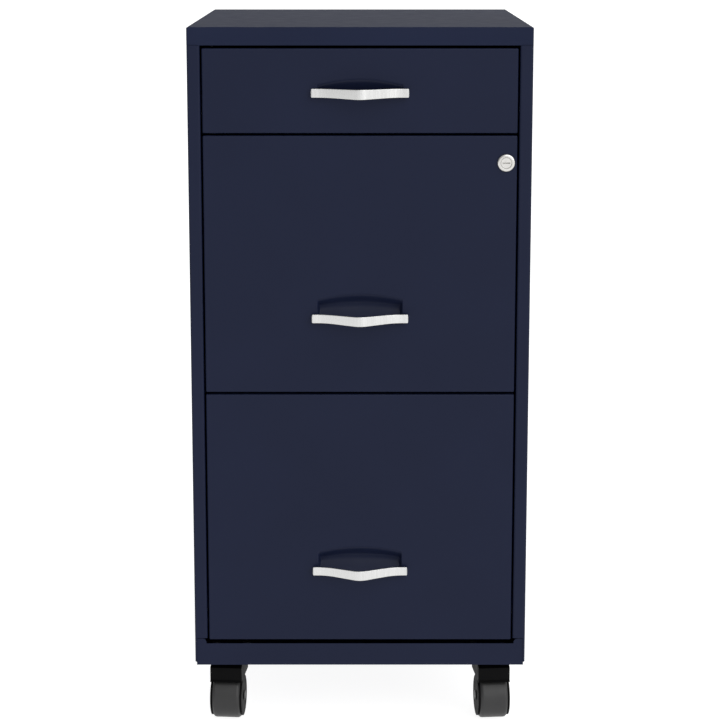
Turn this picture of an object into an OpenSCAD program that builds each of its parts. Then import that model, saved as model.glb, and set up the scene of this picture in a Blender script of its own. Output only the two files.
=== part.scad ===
// Mobile three-drawer steel file cabinet: one box drawer over two file drawers, on four casters.
// Millimetres. X right, Y to the back, Z up. The floor is Z = 0 and the front faces -Y.
// Modules draw with Y = 0 on the front plane; on_frame() moves them so the footprint is centred.

/* [Case] */
// outside width of the top cap
cap_w = 362; // [320:1:450]
// depth of the cap, front plane to back face
cap_d = 457; // [400:1:600]
// height of the top surface above the floor
cap_top = 764.3; // [600:0.1:800]
// height of the cap's rim
rim_h = 18.9; // [12:0.1:30]
// sheet thickness of the case
sheet = 0.8; // [0.6:0.1:1.5]
// width of the posts beside the drawers
post_w = 12.15; // [8:0.05:25]
// depth of the inner leg of a post
post_leg = 30; // [15:1:45]
// lower edge of the side panels
side_bottom = 73.6; // [60:0.1:100]
// top of the ears at both ends of the plinth
ear_top = 100; // [85:0.5:115]

/* [Base] */
// underside of the plinth
plinth_bottom = 70; // [50:1:100]
// top edge of the plinth between its ears
plinth_top = 94.4; // [80:0.1:110]
// width of the plinth
plinth_w = 358.4; // [300:0.1:445]
// rounding of an ear's inner top corner
ear_r = 4.5; // [2:0.5:5]
// gap between an ear and the post above it
ear_gap = 0.7; // [0.1:0.1:1.5]
// sheet thickness of the plinth and base pan
base_sheet = 1.2; // [0.8:0.1:2]

/* [Drawers] */
// width of a drawer front
front_w = 330.8; // [280:0.1:420]
// bottom and top edge of the box drawer's front
top_front = [653.9, 742.4]; // [600:0.1:760]
// bottom and top edge of the middle drawer's front
middle_front = [376.3, 651.5]; // [300:0.1:700]
// bottom and top edge of the bottom drawer's front
bottom_front = [98.7, 373.9]; // [90:0.1:420]
// sheet thickness of a drawer front
skin = 0.9; // [0.6:0.1:1.5]
// depth of a drawer front's folded edges
fold_d = 19.95; // [12:0.05:30]
// outside width of a drawer's tub
tub_w = 306.4; // [260:0.1:400]
// length of a tub behind its front
tub_l = 385; // [300:1:520]
// height of the box drawer's tub
box_tub_h = 62; // [40:1:80]
// height of a file drawer's tub
file_tub_h = 212; // [150:1:250]
// width of the folded lip along a tub's top edge
lip = 8; // [4:1:15]

/* [Handles] */
// width of a handle
handle_w = 102.6; // [80:0.1:160]
// height of the strap at its ends and at its middle
strap_h = [9.2, 10.3]; // [6:0.1:16]
// thickness of the strap
strap_t = 2.2; // [1.5:0.1:4]
// reach of the strap's ends and of its middle in front of the drawer
strap_reach = [7, 23.5]; // [5:0.5:40]
// share of half the strap taken by the bend near its end and by the bend in its middle
strap_bend = [0.4, 0.16]; // [0.05:0.01:0.5]
// length of the block at each end of the handle
end_block = 5.5; // [4:0.5:12]
// middle heights of the three handles
handle_z = [696.3, 457.4, 178.6]; // [130:0.1:720]

/* [Pressed recess] */
// depth of the recess
recess_d = 12; // [8:0.5:18]
// half width at the front plane and at the back wall
recess_half_w = [45, 42.3]; // [30:0.1:48]
// top edge of each recess above the middle of its handle
recess_top = [13, 25, 25]; // [10:0.5:30]
// bottom edge of every recess below the middle of its handle
recess_bottom = 4; // [0:0.5:4]
// how far the upper wall slopes in
recess_slope = 11; // [5:0.5:18]
// how far each recess's floor rises towards the back
recess_ramp = [2, 16, 16]; // [0:0.5:16]
// radius of the arched top edge
recess_arch_r = 175; // [80:1:400]

/* [Slides] */
// height of a cabinet rail
rail_h = 30; // [24:1:45]
// width of a cabinet rail's flanges
rail_w = 11.4; // [9:0.1:15]
// sheet thickness of the rails
rail_t = 1.2; // [0.8:0.1:2]
// height of a rail's lower edge above the tub floor
rail_up = 4; // [0:0.5:20]
// radius of a slide roller
roller_r = 8.3; // [5:0.1:12]
// width of a slide roller
roller_w = 9; // [5:0.5:12]
// radius of a roller's pin
pin_r = 2.5; // [1.5:0.1:4]
// running clearance of the rollers, wheels and swivels
running = 0.05; // [0.02:0.01:0.1]

/* [Lock] */
// middle of the lock, across and up
lock_at = [153.8, 622.9]; // [100:0.1:640]
// radius and projection of the bezel
bezel = [9.5, 2.5]; // [1:0.1:11]
// radius of the barrel behind the bezel
barrel_r = 8; // [6:0.1:9]
// radius of the turning plug
plug_r = 5.5; // [3:0.1:7]
// length and width of the cam
cam = [17, 10]; // [8:0.5:20]

/* [Casters] */
// radius of a caster wheel
wheel_r = 25; // [20:0.5:40]
// width of a caster wheel
wheel_w = 31; // [16:0.5:40]
// rounding of the wheel's shoulders
shoulder = 4; // [1:0.5:6]
// distance from the swivel axis to the wheel's axle
trail = 20; // [10:0.5:30]
// half spacing of the casters across
caster_x = 145; // [100:1:200]
// swivel axes behind the front plane
caster_y = [50, 412]; // [45:1:420]
// thickness of a caster's cheeks
cheek_t = 1.6; // [1.5:0.1:5]
// radius of a cheek below the hood
cheek_r = 22.5; // [15:0.5:24]
// turn of the casters at rest, in degrees, so that their wheels point a little outward
caster_turn = 5; // [0:1:30]
// lowest edge of the hood over the wheel
hood_edge = 46; // [40:0.5:50]

/* [Hidden] */
$fn = 96;
navy = [0.15, 0.17, 0.25];
inside_navy = [0.19, 0.21, 0.29];
silver = [0.8, 0.8, 0.8];
zinc = [0.68, 0.69, 0.7];
black = [0.12, 0.12, 0.12];
white = [0.88, 0.88, 0.85];
gap = 0.1;
small = 0.05;
// the overshoot of a cutting shape
over = 1;
// thickness of a sloping recess wall measured along the front, per thickness of its sheet
wall_slant = 1.3;
case_half = cap_w / 2 - sheet - small;
inner_half = case_half - sheet;
post_inner = case_half - post_w;
rim_low = cap_top - rim_h;
cap_plate = cap_top - sheet;
back_y = cap_d - sheet - gap;
// moves the front plane so that handles and case share one centred footprint
front_y = -(cap_d + strap_reach[1]) / 2 + strap_reach[1];
fronts = [top_front, middle_front, bottom_front];
tub_h = [box_tub_h, file_tub_h, file_tub_h];
// height of a tub's floor above the lower edge of its front
tub_up = 6.5;
back_flange = 13;
cap_return = 15;
plinth_return = 24;
// how far an ear stays clear of the post's inner edge
ear_in = 0.5;
// gap between a front's folded edge and the tub
tub_y = fold_d + gap;
tub_sheet = 0.8;
// cabinet rail: outer face, front end and back end
rail_x = post_inner - gap;
rail_y = [22, 428];
// drawer rail: web against the tub, its edges above the cabinet rail, back end, outer edge
web_x = tub_w / 2 + small;
web_z = [3, 27];
drawer_rail_end = 400;
runner_x = rail_x - rail_t - 0.9;
// rollers: height above the rail's edge, and where they sit
roller_gap = 0.3;
roller_up = rail_t + roller_gap + roller_r;
front_roller_y = 34;
rear_roller_y = 388;
front_roller_x = rail_x - rail_t - 0.7 - roller_w;
rear_roller_x = web_x + rail_t + 1.5;
pin_head = [4, 1];
// sideways play of a roller, and how far its pin starts before it on the drawer's rail
play = 0.2;
pin_root = 1.55;
runner_up = roller_up + roller_r + roller_gap;
// uprights near the back
upright_y = [395, 425];
upright_bottom = 95;
// slot for the lock's cam in the right post
cam_y = 20.9;
cam_t = 2;
cam_slot = [5.5, 36];
cam_slot_y = cam_y - 0.9;
// lock: bezel's bevel, barrel's length, nut, plug set back in the bezel, keyway, and the plug's spigot
bevel = 1.2;
barrel_l = fold_d + 0.45;
nut = [barrel_r + 2.2, 3];
plug_in = 0.3;
keyway = [8, 6, 1.5];
spigot_r = cam[1] / 2 - 1.5;
// the cam's eye, and its screw's length and head
eye_r = cam[1] / 2 + 1;
cam_screw = 4;
cam_head = [4.5, 1.8];
// handle screws
screw_r = 1.5;
screw_head = [2.4, 2];
screw_depth = 4.5;
screw_x = handle_w / 2 - end_block / 2;
// caster plates under the base pan
plate_top = plinth_bottom + base_sheet + gap;
plate_t = 2.5;
plate_w = 46;
rivet_at = 17;
rivet_r = 2.4;
rivet_head = [4.2, 1.8];
race_r = 15;
race_bottom = 66;
king_r = 4;
king_head = [6.5, 2.5];
boss_bottom = 51;
wheel_gap = 1.6;
// hood: thickness over the wheel, how far it reaches in front of the axle, and its swivel boss
hood_t = 2.6;
hood_front = 18;
boss_r = 14;
boss_down = 4;
cheek_gap = 0.4;
axle_r = 3;
axle_head = [5.2, 1.2];
hub_r = axle_r + 4.5;
dish = 2.5;

// ---- helpers ----

// moves a piece drawn from the front plane into the shared frame
module on_frame() {
    translate([0, front_y, 0])
        children();
}

// the same shape on the right and, mirrored, on the left
module both_sides() {
    children();
    mirror([1, 0, 0])
        children();
}

// box between two corners
module block(low, high) {
    translate(low)
        cube(high - low);
}

// cylinder along +X from a point
module bar_x(at, radius, length) {
    translate(at)
        rotate([0, 90, 0])
            cylinder(r = radius, h = length);
}

// cylinder along +Y from a point
module bar_y(at, radius, length) {
    translate(at)
        rotate([-90, 0, 0])
            cylinder(r = radius, h = length);
}

// cylinder along +Z from a point
module bar_z(at, radius, length) {
    translate(at)
        cylinder(r = radius, h = length);
}

// ---- case ----

module cap_shape() {
    half = cap_w / 2;
    difference() {
        block([-half, 0, rim_low], [half, cap_d, cap_top]);
        block([-half + sheet, sheet, rim_low - over], [half - sheet, cap_d - sheet, cap_plate]);
    }
    // stiffening return along the front rim's lower edge
    block([-post_inner, sheet / 2, rim_low], [post_inner, cap_return, rim_low + sheet]);
}

// right side panel with its folded post; the left one is its mirror image
module side_shape(cam_slot_cut) {
    difference() {
        union() {
            block([inner_half, 0, side_bottom], [case_half, back_y, rim_low - gap]);
            block([inner_half, sheet + gap, side_bottom], [case_half, back_y, cap_plate - gap]);
            block([post_inner, 0, ear_top + ear_gap], [case_half, sheet, rim_low - gap]);
            block([post_inner, 0, ear_top + ear_gap], [post_inner + sheet, post_leg, rim_low - gap]);
        }
        if (cam_slot_cut)
            block([post_inner - over, cam_slot_y, lock_at[1] - cam_slot[1] / 2],
                [post_inner + sheet + over, cam_slot_y + cam_slot[0], lock_at[1] + cam_slot[1] / 2]);
    }
}

module back_shape() {
    half = inner_half - gap;
    block([-half, back_y - sheet, side_bottom], [half, back_y, cap_plate - gap]);
    // side flanges welded inside the side panels
    both_sides()
        block([half - sheet, back_y - back_flange, upright_bottom],
            [half, back_y - sheet / 2, cap_plate - gap]);
}

module base_shape() {
    half = plinth_w / 2;
    low = plate_top;
    front = base_sheet + gap;
    back = back_y - sheet - gap;
    difference() {
        block([-half, front, low], [half, back, plinth_top]);
        block([-half + base_sheet, front - over, low + base_sheet],
            [half - base_sheet, back - base_sheet, plinth_top + over]);
        for (x = [-caster_x, caster_x], y = caster_y)
            rivet_spots(x, y)
                bar_z([0, 0, low - over], rivet_r + small, base_sheet + 2 * over);
    }
}

module plinth_shape() {
    half = plinth_w / 2;
    ear_inner = post_inner + ear_in;
    translate([0, base_sheet, 0])
        rotate([90, 0, 0])
            linear_extrude(base_sheet) {
                translate([-half, plinth_bottom])
                    square([plinth_w, plinth_top - plinth_bottom]);
                // an ear with a rounded inner corner at each end
                for (side = [0, 1])
                    mirror([side, 0]) {
                        translate([ear_inner, plinth_top - over])
                            square([half - ear_inner, ear_top - ear_r - plinth_top + over]);
                        translate([ear_inner + ear_r, plinth_top - over])
                            square([half - ear_inner - ear_r, ear_top - plinth_top + over]);
                        translate([ear_inner + ear_r, ear_top - ear_r])
                            circle(r = ear_r);
                    }
            }
    // return under the base pan
    block([-half, base_sheet / 2, plinth_bottom], [half, plinth_return, plinth_bottom + base_sheet]);
}

// channel near the back that carries the rails' back ends
module upright_shape() {
    inner = rail_x + gap;
    difference() {
        block([inner, upright_y[0], upright_bottom], [inner_half - gap, upright_y[1], cap_plate - gap]);
        block([inner + sheet, upright_y[0] + sheet, upright_bottom - over],
            [inner_half + over, upright_y[1] - sheet, cap_top]);
    }
}

module rivet_spots(x, y) {
    for (dx = [-rivet_at, rivet_at], dy = [-rivet_at, rivet_at])
        translate([x + dx, y + dy, 0])
            children();
}

module rivets_shape() {
    grip = plate_t + base_sheet;
    for (x = [-caster_x, caster_x], y = caster_y)
        rivet_spots(x, y) {
            bar_z([0, 0, plate_top - plate_t], rivet_r, grip);
            bar_z([0, 0, plate_top - plate_t - rivet_head[1]], rivet_head[0], rivet_head[1]);
            bar_z([0, 0, plate_top + base_sheet], rivet_head[0], rivet_head[1]);
        }
}

// ---- slides ----

// lower edge of the rails of drawer i
function rail_z(i) = fronts[i][0] + tub_up + rail_up;

module cabinet_rail_shape(i) {
    low = rail_z(i);
    both_sides() {
        difference() {
            block([rail_x - rail_w, rail_y[0], low], [rail_x, rail_y[1], low + rail_h]);
            block([rail_x - rail_w - over, rail_y[0] - over, low + rail_t],
                [rail_x - rail_t, rail_y[1] + over, low + rail_h - rail_t]);
        }
        roller_pin(front_roller_x, front_roller_y, low, 1);
    }
}

// pin of a roller that spans x to x + roller_w; side says which way its head points
module roller_pin(x, y, low, side) {
    at = side > 0 ? x - 2 * play : x - pin_root;
    head = side > 0 ? x - play - pin_head[1] : x + roller_w + play;
    length = side > 0 ? roller_w + 6 * play : roller_w + pin_root + play;
    bar_x([at, y, low + roller_up], pin_r, length);
    bar_x([head, y, low + roller_up], pin_head[0], pin_head[1]);
}

module drawer_rail_shape(i) {
    low = rail_z(i);
    both_sides() {
        block([web_x, tub_y, low + web_z[0]], [web_x + rail_t, drawer_rail_end, low + web_z[1]]);
        block([web_x + rail_t / 2, tub_y, low + runner_up],
            [runner_x, drawer_rail_end, low + runner_up + rail_t]);
        roller_pin(rear_roller_x, rear_roller_y, low, -1);
    }
}

module rollers_shape(i, x, y) {
    both_sides()
        difference() {
            bar_x([x, y, rail_z(i) + roller_up], roller_r, roller_w);
            bar_x([x - over, y, rail_z(i) + roller_up], pin_r + running, roller_w + 2 * over);
        }
}

// ---- drawers ----

// the recess of drawer i as a solid, about the middle of its handle: a cone makes the arched
// upper wall, one wedge the side walls and another the rising floor
module recess_solid(i, grow, from) {
    depth = recess_d + grow;
    fall = recess_slope / recess_d;
    rise = recess_ramp[i] / recess_d;
    taper = (recess_half_w[0] - recess_half_w[1]) / recess_d;
    arch = recess_arch_r + wall_slant * grow;
    near = recess_half_w[0] + grow - from * taper;
    far = recess_half_w[0] + grow - depth * taper;
    bottom = -recess_bottom - wall_slant * grow;
    high = 2 * recess_top[i];
    intersection() {
        translate([0, from, recess_top[i] - recess_arch_r])
            rotate([-90, 0, 0])
                cylinder(r1 = arch - from * fall, r2 = arch - depth * fall, h = depth - from);
        translate([0, 0, -high])
            linear_extrude(2 * high)
                polygon([[-near, from], [near, from], [far, depth], [-far, depth]]);
        translate([-near - over, 0, 0])
            rotate([90, 0, 90])
                linear_extrude(2 * (near + over))
                    polygon([[from, bottom + from * rise], [depth, bottom + depth * rise],
                        [depth, high], [from, high]]);
    }
}

module front_shape(i) {
    half = front_w / 2;
    low = fronts[i][0];
    high = fronts[i][1];
    recess_at = [0, 0, handle_z[i]];
    difference() {
        union() {
            difference() {
                block([-half, 0, low], [half, fold_d, high]);
                block([-half + skin, skin, low + skin], [half - skin, fold_d + over, high - skin]);
            }
            translate(recess_at)
                recess_solid(i, skin, 0);
        }
        translate(recess_at)
            recess_solid(i, 0, -over);
        for (side = [-1, 1])
            bar_y([side * screw_x, -over, handle_z[i]], screw_r + gap, skin + 2 * over);
        if (i == 1)
            bar_y([lock_at[0], -over, lock_at[1]], barrel_r + small, skin + 2 * over);
    }
}

// flat sheet that closes the back of a drawer front
module liner_shape(i) {
    half = front_w / 2 - skin - gap;
    difference() {
        block([-half, fold_d - skin, fronts[i][0] + skin + gap], [half, fold_d, fronts[i][1] - skin - gap]);
        if (i == 1)
            bar_y([lock_at[0], fold_d - skin - over, lock_at[1]], barrel_r + gap, skin + 2 * over);
    }
}

// one folded sheet: floor, two sides with lips, back, and flanges against the liner
module tub_shape(i) {
    half = tub_w / 2;
    low = fronts[i][0] + tub_up;
    high = low + tub_h[i];
    back = tub_y + tub_l;
    block([-half, tub_y, low], [half, back, low + tub_sheet]);
    block([-half, back - tub_sheet, low], [half, back, high]);
    both_sides() {
        block([half - tub_sheet, tub_y, low], [half, back, high]);
        block([half - lip, tub_y, high - tub_sheet], [half, back, high]);
        block([half - lip, tub_y, low], [half, tub_y + tub_sheet, high]);
    }
}

// ---- handles ----

// how far the strap stands out at x, from 0 at its ends to 1 at its middle: straight arms
// between a soft bend near each end and a tighter one in the middle
function bow(x) =
    let (span = handle_w / 2 - end_block, u = max(0, 1 - abs(x) / span),
        start = strap_bend[0], end = strap_bend[1], past = max(0, u - 1 + end))
    (u < start ? u * u / (2 * start) : u - start / 2 - past * past / (2 * end)) / (1 - (start + end) / 2);
function strap_y(x) = -strap_reach[0] - (strap_reach[1] - strap_reach[0]) * bow(x);

module handle_shape(i) {
    half = handle_w / 2;
    steps = 56;
    xs = [for (k = [0 : steps]) -half + handle_w * k / steps];
    face = [for (x = xs) [x, strap_y(x)]];
    inner = [for (k = [steps : -1 : 0]) [xs[k], strap_y(xs[k]) + strap_t]];
    drop = strap_h[1] - strap_h[0];
    top = strap_h[0] / 2;
    edge = [for (x = xs) [x, -top - drop * bow(x)]];
    translate([0, 0, handle_z[i]]) {
        intersection() {
            translate([0, 0, -strap_h[1]])
                linear_extrude(2 * strap_h[1])
                    polygon(concat(face, inner));
            rotate([90, 0, 0])
                linear_extrude(strap_reach[1] + over)
                    polygon(concat(edge, [[half, top], [-half, top]]));
        }
        both_sides()
            difference() {
                block([half - end_block, -strap_reach[0] + strap_t / 2, -top], [half, 0, top]);
                bar_y([screw_x, -screw_depth, 0], screw_r + small, screw_depth + over);
            }
    }
}

module handle_screws_shape(i) {
    for (side = [-1, 1]) {
        bar_y([side * screw_x, -screw_depth + gap, handle_z[i]], screw_r, screw_depth + skin);
        bar_y([side * screw_x, skin, handle_z[i]], screw_head[0], screw_head[1]);
    }
}

// ---- lock ----

module lock_at_front() {
    translate([lock_at[0], 0, lock_at[1]])
        children();
}

module barrel_shape() {
    lock_at_front()
        difference() {
            union() {
                rotate([-90, 0, 0])
                    translate([0, 0, -bezel[1]])
                        cylinder(r1 = bezel[0] - bevel, r2 = bezel[0], h = bevel);
                bar_y([0, -bezel[1] + bevel, 0], bezel[0], bezel[1] - bevel);
                bar_y([0, 0, 0], barrel_r, barrel_l);
            }
            bar_y([0, -bezel[1] - over, 0], plug_r + running, fold_d + bezel[1] + 3 * over);
        }
}

module lock_nut_shape() {
    lock_at_front()
        difference() {
            translate([0, skin, 0])
                rotate([-90, 0, 0])
                    rotate([0, 0, 30])
                        cylinder(r = nut[0], h = nut[1], $fn = 6);
            bar_y([0, 0, 0], barrel_r + small, skin + nut[1] + over);
        }
}

module plug_shape() {
    lock_at_front()
        difference() {
            union() {
                bar_y([0, -bezel[1] + plug_in, 0], plug_r, fold_d + bezel[1]);
                bar_y([0, fold_d, 0], spigot_r, cam_y + cam_t - fold_d);
            }
            block([-keyway[0] / 2, -bezel[1] - over, -keyway[2] / 2],
                [keyway[0] / 2, -bezel[1] + keyway[1], keyway[2] / 2]);
            bar_y([0, cam_y - cam_screw - over, 0], screw_r + small, cam_screw + cam_t + 2 * over);
        }
}

// at rest the cam hangs down; locked, it points right through the post's slot
module cam_shape() {
    lock_at_front()
        difference() {
            union() {
                bar_y([0, cam_y, 0], eye_r, cam_t);
                block([-cam[1] / 2, cam_y, -cam[0]], [cam[1] / 2, cam_y + cam_t, 0]);
                bar_y([0, cam_y, -cam[0]], cam[1] / 2, cam_t);
            }
            bar_y([0, cam_y - over, 0], spigot_r + small, cam_t + 2 * over);
        }
}

module cam_screw_shape() {
    lock_at_front() {
        bar_y([0, cam_y - cam_screw, 0], screw_r, cam_screw + cam_t);
        bar_y([0, cam_y + cam_t, 0], cam_head[0], cam_head[1]);
    }
}

// ---- casters ----

// every caster piece is drawn with its swivel axis on Z; the wheel sits in front of it
module at_caster(x, y) {
    translate([x, y, 0])
        children();
}

// the same for the pieces that turn on the swivel
module at_swivel(x, y) {
    at_caster(x, y)
        rotate([0, 0, x > 0 ? caster_turn : -caster_turn])
            children();
}

module caster_plate_shape() {
    low = plate_top - plate_t;
    difference() {
        union() {
            block([-plate_w / 2, -plate_w / 2, low], [plate_w / 2, plate_w / 2, plate_top]);
            bar_z([0, 0, race_bottom + running], race_r, low - race_bottom - running);
        }
        rivet_spots(0, 0)
            bar_z([0, 0, low - over], rivet_r + small, plate_t + 2 * over);
    }
    pin_low = boss_bottom - gap - king_head[1];
    bar_z([0, 0, pin_low], king_r, race_bottom - pin_low + over);
    bar_z([0, 0, pin_low], king_head[0], king_head[1]);
}

// hood, swivel boss and both cheeks in one casting
module yoke_shape() {
    hood_r = wheel_r + wheel_gap + hood_t;
    half = wheel_w / 2 + cheek_gap + cheek_t;
    slot_half = wheel_w / 2 + cheek_gap;
    top = race_bottom - running;
    difference() {
        union() {
            intersection() {
                bar_x([-half, -trail, wheel_r], hood_r, 2 * half);
                block([-half - over, -trail - hood_r - over, hood_edge], [half + over, trail, 2 * hood_r]);
            }
            // block between the hood's arch and the swivel race, rounded off over the wheel
            intersection() {
                bar_x([-half, -trail, wheel_r], top - wheel_r, 2 * half);
                block([-half, -trail - hood_front, hood_edge], [half, boss_r, top]);
            }
            both_sides()
                bar_x([slot_half, -trail, wheel_r], cheek_r, cheek_t);
            bar_z([0, 0, hood_edge - boss_down], boss_r, top - hood_edge + boss_down);
        }
        bar_x([-slot_half, -trail, wheel_r], wheel_r + wheel_gap, 2 * slot_half);
        bar_z([0, 0, 0], king_head[0] + 1, boss_bottom);
        bar_z([0, 0, 0], king_r + running, race_bottom + over);
        bar_x([-half - over, -trail, wheel_r], axle_r + small / 2, 2 * half + 2 * over);
    }
}

module axle_shape() {
    half = wheel_w / 2 + cheek_gap + cheek_t;
    bar_x([-half - axle_head[1], -trail, wheel_r], axle_head[0], axle_head[1]);
    bar_x([half, -trail, wheel_r], axle_head[0], axle_head[1]);
    bar_x([-half, -trail, wheel_r], axle_r, 2 * half);
}

module wheel_shape() {
    half = wheel_w / 2;
    translate([0, -trail, wheel_r])
        rotate([0, 90, 0])
            rotate_extrude()
                difference() {
                    union() {
                        translate([0, -half + shoulder])
                            square([wheel_r, wheel_w - 2 * shoulder]);
                        translate([0, -half])
                            square([wheel_r - shoulder, wheel_w]);
                        for (side = [-1, 1])
                            translate([wheel_r - shoulder, side * (half - shoulder)])
                                circle(r = shoulder);
                    }
                    translate([-over - wheel_r, -wheel_w])
                        square([wheel_r + over + axle_r + running, 2 * wheel_w]);
                    // dished faces around the hub
                    for (side = [0, 1])
                        mirror([0, side])
                            translate([hub_r, half - dish])
                                square([wheel_r - shoulder - 3 - hub_r, dish + over]);
                }
}

// ---- named pieces ----

module top_cap() { color(navy) on_frame() cap_shape(); }
module right_side() { color(navy) on_frame() side_shape(true); }
module left_side() { color(navy) on_frame() mirror([1, 0, 0]) side_shape(false); }
module back_panel() { color(navy) on_frame() back_shape(); }
module base_pan() { color(navy) on_frame() base_shape(); }
module plinth() { color(navy) on_frame() plinth_shape(); }
module right_upright() { color(inside_navy) on_frame() upright_shape(); }
module left_upright() { color(inside_navy) on_frame() mirror([1, 0, 0]) upright_shape(); }
module caster_rivets() { color(zinc) on_frame() rivets_shape(); }

module cabinet_rails(i) { color(inside_navy) on_frame() cabinet_rail_shape(i); }
module drawer_rails(i) { color(zinc) on_frame() drawer_rail_shape(i); }
module front_rollers(i) { color(white) on_frame() rollers_shape(i, front_roller_x, front_roller_y); }
module rear_rollers(i) { color(white) on_frame() rollers_shape(i, rear_roller_x, rear_roller_y); }
module drawer_front(i) { color(navy) on_frame() front_shape(i); }
module drawer_liner(i) { color(inside_navy) on_frame() liner_shape(i); }
module drawer_tub(i) { color(inside_navy) on_frame() tub_shape(i); }
module handle(i) { color(silver) on_frame() handle_shape(i); }
module handle_screws(i) { color(zinc) on_frame() handle_screws_shape(i); }

module lock_barrel() { color(silver) on_frame() barrel_shape(); }
module lock_nut() { color(zinc) on_frame() lock_nut_shape(); }
module lock_plug() { color(zinc) on_frame() plug_shape(); }
module lock_cam() { color(zinc) on_frame() cam_shape(); }
module lock_cam_screw() { color(zinc) on_frame() cam_screw_shape(); }

module caster_plate(x, k) { color(zinc) on_frame() at_caster(x, caster_y[k]) caster_plate_shape(); }
module yoke(x, k) { color(black) on_frame() at_swivel(x, caster_y[k]) yoke_shape(); }
module axle(x, k) { color(zinc) on_frame() at_swivel(x, caster_y[k]) axle_shape(); }
module wheel(x, k) { color(black) on_frame() at_swivel(x, caster_y[k]) wheel_shape(); }

top_cap();
left_side();
right_side();
back_panel();
base_pan();
plinth();
left_upright();
right_upright();
caster_rivets();
cabinet_rails(0);  // top_cabinet_rails
cabinet_rails(1);  // middle_cabinet_rails
cabinet_rails(2);  // bottom_cabinet_rails
drawer_front(0);  // top_drawer_front
drawer_liner(0);  // top_drawer_liner
drawer_tub(0);  // top_drawer_tub
drawer_rails(0);  // top_drawer_rails
handle(0);  // top_handle
handle_screws(0);  // top_handle_screws
front_rollers(0);  // top_front_rollers
rear_rollers(0);  // top_rear_rollers
drawer_front(1);  // middle_drawer_front
drawer_liner(1);  // middle_drawer_liner
drawer_tub(1);  // middle_drawer_tub
drawer_rails(1);  // middle_drawer_rails
handle(1);  // middle_handle
handle_screws(1);  // middle_handle_screws
front_rollers(1);  // middle_front_rollers
rear_rollers(1);  // middle_rear_rollers
drawer_front(2);  // bottom_drawer_front
drawer_liner(2);  // bottom_drawer_liner
drawer_tub(2);  // bottom_drawer_tub
drawer_rails(2);  // bottom_drawer_rails
handle(2);  // bottom_handle
handle_screws(2);  // bottom_handle_screws
front_rollers(2);  // bottom_front_rollers
rear_rollers(2);  // bottom_rear_rollers
lock_barrel();
lock_nut();
lock_plug();
lock_cam();
lock_cam_screw();
caster_plate(-caster_x, 0);  // front_left_caster_plate
yoke(-caster_x, 0);  // front_left_yoke
axle(-caster_x, 0);  // front_left_axle
wheel(-caster_x, 0);  // front_left_wheel
caster_plate(caster_x, 0);  // front_right_caster_plate
yoke(caster_x, 0);  // front_right_yoke
axle(caster_x, 0);  // front_right_axle
wheel(caster_x, 0);  // front_right_wheel
caster_plate(-caster_x, 1);  // rear_left_caster_plate
yoke(-caster_x, 1);  // rear_left_yoke
axle(-caster_x, 1);  // rear_left_axle
wheel(-caster_x, 1);  // rear_left_wheel
caster_plate(caster_x, 1);  // rear_right_caster_plate
yoke(caster_x, 1);  // rear_right_yoke
axle(caster_x, 1);  // rear_right_axle
wheel(caster_x, 1);  // rear_right_wheel
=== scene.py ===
"""Looks of a mobile three-drawer steel file cabinet, in metres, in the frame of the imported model."""

import math

import bmesh
import bpy
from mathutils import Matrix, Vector


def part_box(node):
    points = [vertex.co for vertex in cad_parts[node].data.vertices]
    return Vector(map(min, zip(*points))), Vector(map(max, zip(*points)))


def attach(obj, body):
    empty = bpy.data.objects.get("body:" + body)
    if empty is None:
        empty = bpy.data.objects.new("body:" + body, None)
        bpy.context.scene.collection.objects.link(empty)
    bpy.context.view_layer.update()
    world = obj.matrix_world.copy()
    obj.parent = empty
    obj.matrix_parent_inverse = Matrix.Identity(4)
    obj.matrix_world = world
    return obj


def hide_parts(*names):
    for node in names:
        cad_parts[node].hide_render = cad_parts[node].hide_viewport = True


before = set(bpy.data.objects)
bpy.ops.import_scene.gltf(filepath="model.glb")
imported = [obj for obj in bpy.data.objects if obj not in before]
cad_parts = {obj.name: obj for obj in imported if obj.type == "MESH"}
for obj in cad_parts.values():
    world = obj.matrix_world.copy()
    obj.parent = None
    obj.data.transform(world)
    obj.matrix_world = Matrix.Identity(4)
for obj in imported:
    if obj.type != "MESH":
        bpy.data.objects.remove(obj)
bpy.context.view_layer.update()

MM = 0.001
DRAWERS = ("top", "middle", "bottom")
CASTERS = ("front_left", "front_right", "rear_left", "rear_right")
SHEET = 0.8 * MM
SKIN = 0.9 * MM
FRONT_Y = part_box("plinth")[0].y


# ---- materials ----


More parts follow.
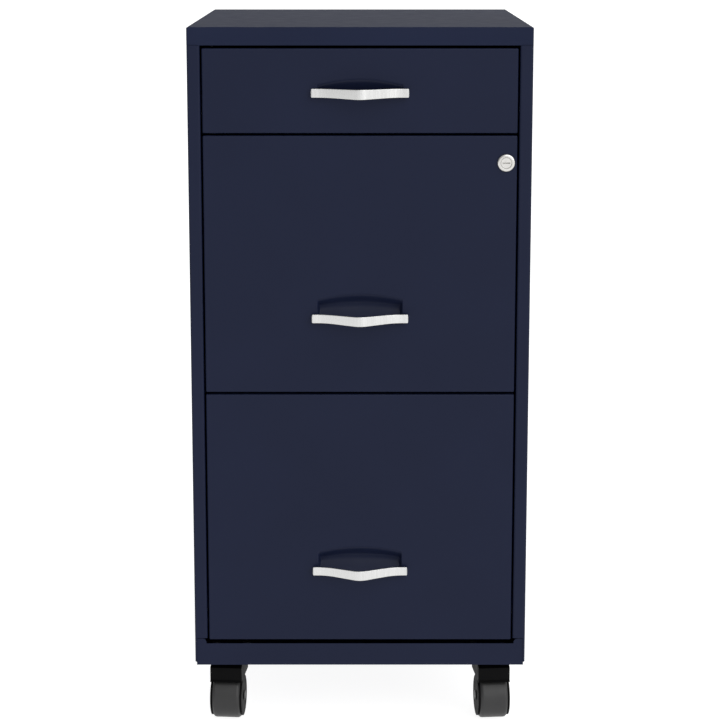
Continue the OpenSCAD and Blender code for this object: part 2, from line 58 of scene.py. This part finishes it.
class Shader:
    """A node material with one Principled shader and short ways to add nodes to it."""

    def __init__(self, name):
        self.material = bpy.data.materials.new(name)
        self.material.use_nodes = True
        self.nodes = self.material.node_tree.nodes
        self.links = self.material.node_tree.links
        self.bsdf = self.nodes["Principled BSDF"]
        self.place = self.nodes.new("ShaderNodeTexCoord")

    def set(self, **values):
        for key, value in values.items():
            self.bsdf.inputs[key.replace("_", " ")].default_value = value
        return self

    def noise(self, scale, stretch=(1, 1, 1), detail=3.0, roughness=0.5):
        mapping = self.nodes.new("ShaderNodeMapping")
        mapping.inputs["Scale"].default_value = stretch
        self.links.new(self.place.outputs["Object"], mapping.inputs["Vector"])
        noise = self.nodes.new("ShaderNodeTexNoise")
        noise.inputs["Scale"].default_value = scale
        noise.inputs["Detail"].default_value = detail
        noise.inputs["Roughness"].default_value = roughness
        self.links.new(mapping.outputs["Vector"], noise.inputs["Vector"])
        return noise.outputs["Fac"]

    def spread(self, value, low, high, start=0.3, end=0.7):
        """Maps a noise value from start..end to low..high."""
        ranged = self.nodes.new("ShaderNodeMapRange")
        ranged.inputs["From Min"].default_value = start
        ranged.inputs["From Max"].default_value = end
        ranged.inputs["To Min"].default_value = low
        ranged.inputs["To Max"].default_value = high
        self.links.new(value, ranged.inputs["Value"])
        return ranged.outputs["Result"]

    def colours(self, value, dark, light):
        """Base colour between dark and light by a noise value."""
        ramp = self.nodes.new("ShaderNodeValToRGB")
        ramp.color_ramp.elements[0].position = 0.3
        ramp.color_ramp.elements[1].position = 0.7
        ramp.color_ramp.elements[0].color = (*dark, 1)
        ramp.color_ramp.elements[1].color = (*light, 1)
        self.links.new(value, ramp.inputs["Fac"])
        self.links.new(ramp.outputs["Color"], self.bsdf.inputs["Base Color"])
        return self

    def rough(self, value, low, high):
        self.links.new(self.spread(value, low, high), self.bsdf.inputs["Roughness"])
        return self

    def bump(self, value, distance, strength=1.0):
        bump = self.nodes.new("ShaderNodeBump")
        bump.inputs["Distance"].default_value = distance
        bump.inputs["Strength"].default_value = strength
        self.links.new(value, bump.inputs["Height"])
        self.links.new(bump.outputs["Normal"], self.bsdf.inputs["Normal"])
        return self


def tinted(colour, factor):
    return tuple(channel * factor for channel in colour)


def powder_coat(name, colour, rough=(0.36, 0.42), specular=0.12):
    shader = Shader(name).set(Specular_IOR_Level=specular)
    cloud = shader.noise(9, detail=2)
    peel = shader.noise(620, detail=2)
    shader.colours(cloud, tinted(colour, 0.96), tinted(colour, 1.05))
    shader.rough(shader.noise(60), *rough)
    shader.bump(peel, 0.01 * MM, 0.2)
    return shader.material


def brushed_metal(name, colour, stretch, rough=(0.24, 0.36), scale=55):
    shader = Shader(name).set(Metallic=1.0)
    streaks = shader.noise(scale, stretch=stretch, detail=4)
    shader.colours(streaks, tinted(colour, 0.93), tinted(colour, 1.04))
    shader.rough(streaks, *rough)
    shader.bump(streaks, 0.015 * MM, 0.5)
    return shader.material


def zinc_plate(name, colour=(0.46, 0.47, 0.5)):
    shader = Shader(name).set(Metallic=1.0)
    bloom = shader.noise(90, detail=4)
    shader.colours(bloom, tinted(colour, 0.86), tinted(colour, 1.1))
    shader.rough(shader.noise(240), 0.32, 0.48)
    shader.bump(bloom, 0.02 * MM, 0.4)
    return shader.material


def plastic(name, colour, rough, specular=0.4, grain=900):
    shader = Shader(name).set(Specular_IOR_Level=specular)
    shader.colours(shader.noise(40), tinted(colour, 0.88), tinted(colour, 1.1))
    shader.rough(shader.noise(120), *rough)
    shader.bump(shader.noise(grain), 0.02 * MM, 0.5)
    return shader.material


NAVY = (0.0062, 0.0092, 0.0260)
navy = powder_coat("navy_coat", NAVY)
# The lid's colour is the navy paint painted lighter and greyer: a painted sheen in place of the light its
# top and rim reflect.
navy_lid_painted_sheen = powder_coat("navy_lid_painted_sheen", (0.0102, 0.0140, 0.0335), rough=(0.56, 0.62), specular=0.06)
navy_inside = powder_coat("navy_inside", tinted(NAVY, 1.15), rough=(0.46, 0.54))
silver = brushed_metal("silver_handle", (0.62, 0.62, 0.615), stretch=(14, 2, 0.6))
nickel = brushed_metal("nickel_lock", (0.62, 0.61, 0.59), stretch=(3, 3, 3), rough=(0.2, 0.3))
zinc = zinc_plate("zinc_steel")
black_steel = zinc_plate("black_steel", (0.012, 0.012, 0.013))
nylon = plastic("white_nylon", (0.78, 0.77, 0.72), rough=(0.42, 0.55))
# Hood and cheeks: black plastic painted darker than the tread, as painted shade of the cabinet over the
# casters.
hood_black_painted_shade = plastic("hood_black_painted_shade", (0.0026, 0.0026, 0.0028), rough=(0.5, 0.65), specular=0.05)
tread_black = plastic("tread_black", (0.024, 0.024, 0.0245), rough=(0.4, 0.5), specular=0.3)


# ---- meshes ----


def add_object(name, mesh, material):
    """A smoothly shaded object in the scene."""
    mesh.polygons.foreach_set("use_smooth", [True] * len(mesh.polygons))
    obj = bpy.data.objects.new(name, mesh)
    bpy.context.scene.collection.objects.link(obj)
    mesh.materials.append(material)
    return obj


def mesh_object(name, vertices, faces, material):
    mesh = bpy.data.meshes.new(name)
    mesh.from_pydata(vertices, [], faces)
    mesh.validate()
    mesh.update()
    return add_object(name, mesh, material)


def grid_faces(rows, columns, start=0, turn=False):
    """Quads between the points of a grid stored row by row."""
    faces = []
    for row in range(rows - 1):
        for column in range(columns - 1):
            a = start + row * columns + column
            quad = (a, a + 1, a + columns + 1, a + columns)
            faces.append(quad[::-1] if turn else quad)
    return faces


def bevel(obj, width):
    modifier = obj.modifiers.new("bevel", "BEVEL")
    modifier.width = width
    modifier.segments = 2
    modifier.limit_method = "ANGLE"
    modifier.angle_limit = math.radians(30)
    modifier.harden_normals = True


def thicken(obj):
    """Gives a surface its sheet thickness, inward."""
    shell = obj.modifiers.new("sheet", "SOLIDIFY")
    shell.thickness = SHEET
    shell.offset = -1


def even_normals(obj):
    """Keeps flat faces flat next to their soft bends."""
    normals = obj.modifiers.new("flat faces", "WEIGHTED_NORMAL")
    normals.keep_sharp = True


def settle(obj, body, slot, *nodes):
    """The piece rides on its body and stands for CAD nodes; the slot argument is not used."""
    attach(obj, body)
    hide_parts(*nodes)


def shade(node, material, width=0.25 * MM):
    """A CAD node that keeps its shape gets its material and fine worn edges."""
    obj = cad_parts[node]
    obj.data.materials.clear()
    obj.data.materials.append(material)
    bevel(obj, width)


# ---- top cap ----

CAP_ROUND = 1.8 * MM


def folded_lid(name, node):
    """An open-bottomed lid with rounded outer edges and a true sheet thickness."""
    low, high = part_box(node)
    mesh = bpy.data.meshes.new(name)
    build = bmesh.new()
    bmesh.ops.create_cube(build, size=1)
    for vertex in build.verts:
        vertex.co = Vector((
            high.x if vertex.co.x > 0 else low.x,
            high.y if vertex.co.y > 0 else low.y,
            high.z if vertex.co.z > 0 else low.z,
        ))
    floor = [face for face in build.faces if face.normal.z < -0.5]
    bmesh.ops.delete(build, geom=floor, context="FACES_ONLY")
    rounded = [edge for edge in build.edges if not edge.is_boundary]
    bmesh.ops.bevel(build, geom=rounded, offset=CAP_ROUND, segments=5, profile=0.5, affect="EDGES")
    build.to_mesh(mesh)
    build.free()
    obj = add_object(name, mesh, navy_lid_painted_sheen)
    thicken(obj)
    even_normals(obj)
    return obj


settle(folded_lid("cap_shell", "top_cap"), "case", "navy_coat", "top_cap")


# ---- drawer fronts ----

RECESS_DEPTH = 12 * MM
RECESS_HALF = 45 * MM
RECESS_ARCH = 175 * MM
SIDE_WALL, TOP_WALL = 2.7 * MM, 11 * MM
RECESS_BOTTOM = -4 * MM
# widths of the soft bends between top wall and floor, at the deepest part, at the side walls and at the edge
FLOOR_BEND, BACK_BEND, WALL_BEND, EDGE_BEND = 7 * MM, 7 * MM, 4.5 * MM, 3 * MM
# top edge over the handle's middle, and the height over which the floor slopes in
RECESS_TOP = {"top": 13 * MM, "middle": 25 * MM, "bottom": 25 * MM}
RECESS_RAMP = {"top": 2 * MM, "middle": 16 * MM, "bottom": 16 * MM}
# half the strap's height at its ends
HANDLE_TOP = 4.6 * MM
# how much lower than the strap the tops of its feet are
FOOT_DROP = 1.6 * MM
EDGE = 1.6 * MM
# half the square hole for the lock's plug, hidden behind the bezel
LOCK_HOLE = 6.4 * MM
# depth of the lip behind the front's folded edges
LIP = 6 * MM
# mesh lines closer than this are one line
SAME_LINE = 0.05 * MM
# mesh lines of a front: in from its outer edges, and on its flat stretches
RIM_LINES = (0, 0.25 * MM, 0.5 * MM, 0.8 * MM, 1.2 * MM, EDGE)
FLAT_STEP = 20 * MM
# start, end and spacing from the handle's middle: across the recess's side walls and its floor, and up
WALL_LINES = (40.5 * MM, 47.5 * MM, 0.5 * MM)
FLOOR_LINES = (-40 * MM, 40 * MM, 2 * MM)
RECESS_LINES = (-9 * MM, 29 * MM, 0.6 * MM)
# the flat stretches begin this far to the sides of the handle's middle, below it and above it
FLAT_BESIDE, FLAT_BELOW, FLAT_ABOVE = 48 * MM, 10 * MM, 30 * MM


def smooth_min(a, b, width):
    blend = max(0.0, min(1.0, 0.5 + 0.5 * (b - a) / width))
    return b + (a - b) * blend - width * blend * (1 - blend)


def recess_depth(x, z, drawer):
    """How far the pressed recess goes in at x, z from its handle's middle; the walls meet in soft bends."""
    arch = RECESS_ARCH - math.sqrt(RECESS_ARCH**2 - min(abs(x), RECESS_ARCH * 0.9) ** 2)
    from_top = (RECESS_TOP[drawer] - arch - z) * RECESS_DEPTH / TOP_WALL
    from_bottom = (z - RECESS_BOTTOM) * RECESS_DEPTH / RECESS_RAMP[drawer]
    from_side = (RECESS_HALF - abs(x)) * RECESS_DEPTH / SIDE_WALL
    depth = smooth_min(from_top, from_bottom, FLOOR_BEND)
    depth = smooth_min(depth, RECESS_DEPTH, BACK_BEND)
    depth = smooth_min(depth, from_side, WALL_BEND)
    return -smooth_min(-depth, 0.0, EDGE_BEND)


def steps(start, end, size):
    count = max(1, round(abs(end - start) / size))
    return [start + (end - start) * k / count for k in range(count + 1)]


def merged(*lists):
    """Sorted values without near duplicates."""
    values = []
    for value in sorted(v for part in lists for v in part):
        if not values or value - values[-1] > SAME_LINE:
            values.append(value)
    return values


def cleared(values, low, high):
    """The values with none between low and high, and with those two."""
    return merged([v for v in values if not low < v < high], [low, high])


def rounding(edge_x, edge_z):
    """Sideways and inward shift of a point near the front's folded outer edge."""
    dx, dz = max(0.0, EDGE - edge_x), max(0.0, EDGE - edge_z)
    reach = math.hypot(dx, dz)
    pull = EDGE / reach if reach > EDGE else 1.0
    dx, dz = dx * pull, dz * pull
    return dx, dz, EDGE - math.sqrt(max(0.0, EDGE**2 - dx**2 - dz**2))


def front_skin(name, drawer):
    """The folded front sheet as one surface: flat face, pressed recess, rounded folds, edges and lip."""
    low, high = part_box(f"{drawer}_drawer_front")
    middle_x = (low.x + high.x) / 2
    middle_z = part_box(f"{drawer}_handle")[1].z - HANDLE_TOP
    wall_x = steps(*WALL_LINES)
    floor_start, floor_end, floor_step = FLOOR_LINES
    recess_start, recess_end, recess_step = RECESS_LINES
    xs = merged(
        [low.x + r for r in RIM_LINES],
        [high.x - r for r in RIM_LINES],
        steps(low.x + EDGE, middle_x - FLAT_BESIDE, FLAT_STEP),
        steps(middle_x + FLAT_BESIDE, high.x - EDGE, FLAT_STEP),
        [middle_x + x for x in wall_x],
        [middle_x - x for x in wall_x],
        steps(middle_x + floor_start, middle_x + floor_end, floor_step),
    )
    zs = merged(
        [low.z + r for r in RIM_LINES],
        [high.z - r for r in RIM_LINES],
        steps(low.z + EDGE, middle_z - FLAT_BELOW, FLAT_STEP),
        steps(middle_z + FLAT_ABOVE, high.z - EDGE, FLAT_STEP),
        steps(middle_z + recess_start, middle_z + recess_end, recess_step),
    )
    lock_low, lock_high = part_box("lock_barrel")
    lock_x, lock_z = (lock_low.x + lock_high.x) / 2, (lock_low.z + lock_high.z) / 2
    locked = low.z < lock_z < high.z
    if locked:
        xs = cleared(xs, lock_x - LOCK_HOLE, lock_x + LOCK_HOLE)
        zs = cleared(zs, lock_z - LOCK_HOLE, lock_z + LOCK_HOLE)
    vertices = []
    for z in zs:
        for x in xs:
            edge_x, edge_z = min(x - low.x, high.x - x), min(z - low.z, high.z - z)
            dx, dz, inward = rounding(edge_x, edge_z)
            side_x = low.x + EDGE - dx if x < middle_x else high.x - EDGE + dx
            side_z = low.z + EDGE - dz if z < middle_z else high.z - EDGE + dz
            place_x = side_x if edge_x < EDGE else x
            place_z = side_z if edge_z < EDGE else z
            depth = recess_depth(x - middle_x, z - middle_z, drawer)
            vertices.append((place_x, low.y + inward + depth, place_z))
    columns, rows = len(xs), len(zs)
    faces = grid_faces(rows, columns)
    if locked:
        del faces[zs.index(lock_z - LOCK_HOLE) * (columns - 1) + xs.index(lock_x - LOCK_HOLE)]
    border = list(range(columns))
    border += [row * columns + columns - 1 for row in range(1, rows)]
    border += [rows * columns - 1 - k for k in range(1, columns)]
    border += [row * columns for row in range(rows - 2, 0, -1)]
    centre_z = (low.z + high.z) / 2
    half_x, half_z = (high.x - low.x) / 2, (high.z - low.z) / 2
    rings = [border]
    for inset, y in ((0, high.y), (SKIN, high.y), (SKIN, high.y - LIP)):
        ring = []
        for index in border:
            x, _, z = vertices[index]
            x = middle_x + (x - middle_x) * (half_x - inset) / half_x
            z = centre_z + (z - centre_z) * (half_z - inset) / half_z
            ring.append(len(vertices))
            vertices.append((x, y, z))
        rings.append(ring)
    for outer, inner in zip(rings, rings[1:]):
        for k in range(len(border)):
            n = (k + 1) % len(border)
            faces.append((outer[n], outer[k], inner[k], inner[n]))
    obj = mesh_object(name, vertices, faces, navy)
    even_normals(obj)
    return obj


for drawer in DRAWERS:
    skin = front_skin(f"{drawer}_front_skin", drawer)
    settle(skin, f"{drawer}_drawer", "navy_coat", f"{drawer}_drawer_front")


# ---- handles ----

STRAP = 2.2 * MM
STRAP_SOFT = 0.4 * MM
STRAP_STEPS = 120
END_BLOCK = 5.5 * MM
FOOT_ROUND = 1.0 * MM
FOOT_INSET = 0.02 * MM
# how far the strap's face stands out at its ends and at its middle
STRAP_REACH = (7 * MM, 23.5 * MM)
# share of half the strap taken by the bend near its end and by the bend in its middle
STRAP_BEND = (0.4, 0.16)


def rounded_box_points(half_a, half_b, radius, corner=3):
    """Outline of a rounded rectangle, anticlockwise, in its own plane."""
    points = []
    for number, (sa, sb) in enumerate(((1, 1), (-1, 1), (-1, -1), (1, -1))):
        for k in range(corner + 1):
            turn = math.radians(90 * number + 90 * k / corner)
            points.append((
                sa * (half_a - radius) + radius * math.cos(turn),
                sb * (half_b - radius) + radius * math.sin(turn),
            ))
    return points


def strap_handle(name, node):
    """A bowed strap with softly rounded edges, on a solid foot at each end."""
    low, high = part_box(node)
    middle, half = (low.x + high.x) / 2, (high.x - low.x) / 2
    top = high.z
    drop = (high.z - low.z) - 2 * HANDLE_TOP
    span = half - END_BLOCK
    end_bend, middle_bend = STRAP_BEND

    def bow(x):
        """0 at the strap's ends and 1 at its middle: straight arms between soft bends."""
        inward = max(0.0, 1 - abs(x) / span)
        past = max(0.0, inward - 1 + middle_bend)
        if inward < end_bend:
            risen = inward**2 / (2 * end_bend)
        else:
            risen = inward - end_bend / 2 - past**2 / (2 * middle_bend)
        return risen / (1 - (end_bend + middle_bend) / 2)

    def face(x):
        return FRONT_Y - STRAP_REACH[0] - (STRAP_REACH[1] - STRAP_REACH[0]) * bow(x)

    outer = half - STRAP_SOFT * 0.4
    between = [-half + 2 * half * k / STRAP_STEPS for k in range(1, STRAP_STEPS)]
    xs = [-outer] + between + [outer]
    nudge = 0.1 * MM
    vertices = []
    for k, x in enumerate(xs):
        slope = (face(x + nudge) - face(x - nudge)) / (2 * nudge)
        along = Vector((1, slope, 0)).normalized()
        across = Vector((-along.y, along.x, 0))
        thick = STRAP / math.hypot(1, slope) ** 0.5
        tall = 2 * HANDLE_TOP + drop * bow(x)
        centre = Vector((middle + x, face(x), top - tall / 2)) + across * thick / 2
        shrink = STRAP_SOFT if k in (0, len(xs) - 1) else 0
        ring = rounded_box_points(thick / 2 - shrink, tall / 2 - shrink, STRAP_SOFT)
        vertices += [centre + across * a + Vector((0, 0, b)) for a, b in ring]
    size = len(ring)
    last = (len(xs) - 1) * size
    faces = []
    for row in range(len(xs) - 1):
        for k in range(size):
            n = (k + 1) % size
            a, b = row * size + k, row * size + n
            faces.append((a, b, b + size, a + size))
    faces.append(tuple(range(size))[::-1])
    faces.append(tuple(range(last, last + size)))
    foot_half = END_BLOCK / 2
    foot_z = top - HANDLE_TOP - FOOT_DROP / 2
    outline = rounded_box_points(foot_half - FOOT_INSET, HANDLE_TOP - FOOT_DROP / 2, FOOT_ROUND)
    size = len(outline)
    for side in (-1, 1):
        start = len(vertices)
        centre_x = middle + side * (half - foot_half)
        for y in (FRONT_Y, FRONT_Y - STRAP_REACH[0] + STRAP / 2):
            vertices += [Vector((centre_x + a, y, foot_z + b)) for a, b in outline]
        for k in range(size):
            n = (k + 1) % size
            faces.append((start + k, start + n, start + size + n, start + size + k))
        faces.append(tuple(range(start + size, start + 2 * size)))
    obj = mesh_object(name, vertices, faces, silver)
    even_normals(obj)
    return obj


for drawer in DRAWERS:
    strap = strap_handle(f"{drawer}_strap_handle", f"{drawer}_handle")
    settle(strap, f"{drawer}_drawer", "silver_metal", f"{drawer}_handle")


# ---- side panels ----

SAME_POINT = 0.01 * MM
CAP_GAP = 0.1 * MM
EAR_GAP = 0.7 * MM
POST_LEG = 30 * MM
POST_FOLD = 1.4 * MM
# slot for the lock's cam in the right post: its front edge before the cam, its depth and height
CAM_SLOT = (0.9 * MM, 5.5 * MM, 36 * MM)


def quarter(count=5):
    """Sines and cosines of a quarter turn in even steps."""
    return [(math.sin(a), math.cos(a)) for a in (math.radians(90 * k / count) for k in range(count + 1))]


def folded_side(name, node, side):
    """One sheet: a flat side whose front edge folds twice into the post beside the drawers."""
    low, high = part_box(node)
    outer, inner = (high.x, low.x) if side > 0 else (low.x, high.x)
    outer_bend = [(outer - side * POST_FOLD * (1 - c), low.y + POST_FOLD * (1 - s)) for s, c in quarter()]
    inner_bend = [(inner + side * POST_FOLD * (1 - s), low.y + POST_FOLD * (1 - c)) for s, c in quarter()]
    slot_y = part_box("lock_cam")[0].y - CAM_SLOT[0]
    slot_z = (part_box("lock_barrel")[0].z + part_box("lock_barrel")[1].z) / 2
    leg = [(inner, slot_y), (inner, slot_y + CAM_SLOT[1]), (inner, low.y + POST_LEG)]
    profile = [(outer, high.y), (outer, low.y + POST_LEG)] + outer_bend + inner_bend + leg
    levels = (
        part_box("plinth")[1].z + EAR_GAP,
        slot_z - CAM_SLOT[2] / 2,
        slot_z + CAM_SLOT[2] / 2,
        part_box("top_cap")[0].z - CAP_GAP,
    )
    vertices = [(x, y, z) for z in levels for x, y in profile]
    faces = grid_faces(len(levels), len(profile), turn=side < 0)
    if side > 0:
        # the cell between the slot's two edges, in the row between its two heights
        cells = len(profile) - 1
        slot_row, slot_cell = 1, cells - 2
        del faces[slot_row * cells + slot_cell]
    flat = profile[:2]
    ends = (
        (low.z, levels[0], flat + outer_bend),
        (levels[-1], high.z, flat + outer_bend[:1]),
    )
    for z_low, z_high, outline in ends:
        start = len(vertices)
        vertices += [(x, y, z) for z in (z_low, z_high) for x, y in outline]
        faces += grid_faces(2, len(outline), start=start, turn=side < 0)
    obj = mesh_object(name, vertices, faces, navy)
    build = bmesh.new()
    build.from_mesh(obj.data)
    bmesh.ops.remove_doubles(build, verts=build.verts, dist=SAME_POINT)
    build.to_mesh(obj.data)
    build.free()
    thicken(obj)
    even_normals(obj)
    return obj


for side_name, side in (("left_side", -1), ("right_side", 1)):
    panel = folded_side(f"{side_name}_sheet", side_name, side)
    settle(panel, "case", "navy_coat", side_name)


# ---- lock ----

# bezel: how far inside the CAD's rim it stays, its dome, and the small chamfer at its foot
RIM_IN = 0.15 * MM
RIM_ROUND = 1.9 * MM
RIM_FOOT = 0.35 * MM
# clearance round the plug, the bore's chamfer, and the step from the rim in to the barrel
PLUG_GAP = 0.12 * MM
PLUG_CHAMFER = 0.55 * MM
BARREL_STEP = 1.5 * MM


def turned(name, x, z, outline, material, count=72):
    """A closed outline of (radius, y) points turned round the line along Y through x and z."""
    vertices = []
    for k in range(count):
        turn = 2 * math.pi * k / count
        vertices += [(x + r * math.sin(turn), y, z + r * math.cos(turn)) for r, y in outline]
    size = len(outline)
    faces = []
    for k in range(count):
        row, after = k * size, (k + 1) % count * size
        for j in range(size):
            n = (j + 1) % size
            faces.append((after + j, after + n, row + n, row + j))
    obj = mesh_object(name, vertices, faces, material)
    obj.data.set_sharp_from_angle(angle=math.radians(40))
    return obj


def lock_bezel(name):
    """Bezel with a domed rim and a small foot, the barrel behind it, and a chamfered bore."""
    low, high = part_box("lock_barrel")
    plug_low, plug_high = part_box("lock_plug")
    bore = (plug_high.x - plug_low.x) / 2 + PLUG_GAP
    rim = (high.x - low.x) / 2
    outer = rim - RIM_IN
    dome = [(outer - RIM_ROUND * (1 - s), low.y + RIM_ROUND * (1 - c)) for s, c in quarter(6)]
    front = [(bore, low.y + PLUG_CHAMFER), (bore + PLUG_CHAMFER, low.y)] + dome
    foot = [(outer, FRONT_Y - RIM_FOOT), (outer - RIM_FOOT, FRONT_Y)]
    back = [(rim - BARREL_STEP, FRONT_Y), (rim - BARREL_STEP, high.y), (bore, high.y)]
    return turned(name, (low.x + high.x) / 2, (low.z + high.z) / 2, front + foot + back, nickel)


settle(lock_bezel("lock_bezel"), "middle_drawer", "silver_metal", "lock_barrel")


# ---- CAD pieces that keep their shape ----

for node in ("back_panel", "base_pan", "plinth"):
    shade(node, navy)
for node in ("left_upright", "right_upright"):
    shade(node, navy_inside)
shade("caster_rivets", zinc)
for drawer in DRAWERS:
    shade(f"{drawer}_drawer_liner", navy_inside)
    shade(f"{drawer}_drawer_tub", navy_inside)
    shade(f"{drawer}_drawer_rails", zinc)
    shade(f"{drawer}_cabinet_rails", navy_inside)
    shade(f"{drawer}_handle_screws", zinc)
    shade(f"{drawer}_front_rollers", nylon)
    shade(f"{drawer}_rear_rollers", nylon)
shade("lock_plug", nickel, 0.4 * MM)
for node in ("lock_nut", "lock_cam", "lock_cam_screw"):
    shade(node, zinc)
for caster in CASTERS:
    shade(f"{caster}_caster_plate", zinc)
    shade(f"{caster}_yoke", hood_black_painted_shade, 0.5 * MM)
    shade(f"{caster}_axle", black_steel)
    shade(f"{caster}_wheel", tread_black)


# ---- floor, light, camera ----

FLOOR_SIZE = 60
FLOOR_GLOW = 0.9
# strength of the surrounding light on its left and right, and as the camera sees it
SKY_LEFT, SKY_RIGHT, SKY_SEEN = 0.5, 1.15, 1.1
SKY_SWEEP = 0.4
WHITE = (1, 1, 1, 1)

bpy.ops.mesh.primitive_plane_add(size=FLOOR_SIZE)
floor = bpy.context.object
floor.name = "studio_floor"
pale = Shader("pale_floor").set(Specular_IOR_Level=0.1, Emission_Color=WHITE, Emission_Strength=FLOOR_GLOW)
pale.colours(pale.noise(0.6), (0.30, 0.30, 0.30), (0.32, 0.32, 0.32))
pale.rough(pale.noise(4), 0.7, 0.8)
floor.data.materials.append(pale.material)

world = bpy.data.worlds.new("studio")
bpy.context.scene.world = world
world.use_nodes = True
nodes, links = world.node_tree.nodes, world.node_tree.links
direction = nodes.new("ShaderNodeTexCoord")
split = nodes.new("ShaderNodeSeparateXYZ")
links.new(direction.outputs["Generated"], split.inputs["Vector"])
sweep = nodes.new("ShaderNodeMapRange")
sweep.inputs["From Min"].default_value = -SKY_SWEEP
sweep.inputs["From Max"].default_value = SKY_SWEEP
sweep.inputs["To Min"].default_value = SKY_LEFT
sweep.inputs["To Max"].default_value = SKY_RIGHT
links.new(split.outputs["X"], sweep.inputs["Value"])
ray = nodes.new("ShaderNodeLightPath")
seen = nodes.new("ShaderNodeMix")
links.new(ray.outputs["Is Camera Ray"], seen.inputs["Factor"])
links.new(sweep.outputs["Result"], seen.inputs["A"])
seen.inputs["B"].default_value = SKY_SEEN
links.new(seen.outputs["Result"], nodes["Background"].inputs["Strength"])
nodes["Background"].inputs["Color"].default_value = WHITE


def soft_sun(name, strength, azimuth, elevation, spread):
    """A broad, even light from azimuth (0 is the front, 90 the right) and elevation, in degrees."""
    light = bpy.data.lights.new(name, "SUN")
    light.energy = strength
    light.angle = math.radians(spread)
    lamp = bpy.data.objects.new(name, light)
    bpy.context.scene.collection.objects.link(lamp)
    turn, rise = math.radians(azimuth), math.radians(elevation)
    towards = Vector((math.sin(turn) * math.cos(rise), -math.cos(turn) * math.cos(rise), math.sin(rise)))
    lamp.rotation_mode = "QUATERNION"
    lamp.rotation_quaternion = towards.to_track_quat("Z", "Y")


soft_sun("key_light", 1.5, 32, 36, 60)

CAMERA_BACK = 2.340
CAMERA_HEIGHT = 0.8762
CAMERA_PITCH = 11.23
FOCAL_PIXELS = 2229.8
PICTURE_PIXELS = 720
SENSOR_WIDTH = 36

camera = bpy.data.objects.new("camera", bpy.data.cameras.new("camera"))
bpy.context.scene.collection.objects.link(camera)
camera.data.sensor_width = SENSOR_WIDTH
camera.data.lens = FOCAL_PIXELS / PICTURE_PIXELS * SENSOR_WIDTH
camera.location = (0, FRONT_Y - CAMERA_BACK, CAMERA_HEIGHT)
camera.rotation_euler = (math.radians(90 - CAMERA_PITCH), 0, 0)
camera.data.clip_end = 100
bpy.context.scene.camera = camera
bpy.context.scene.view_settings.view_transform = "Standard"
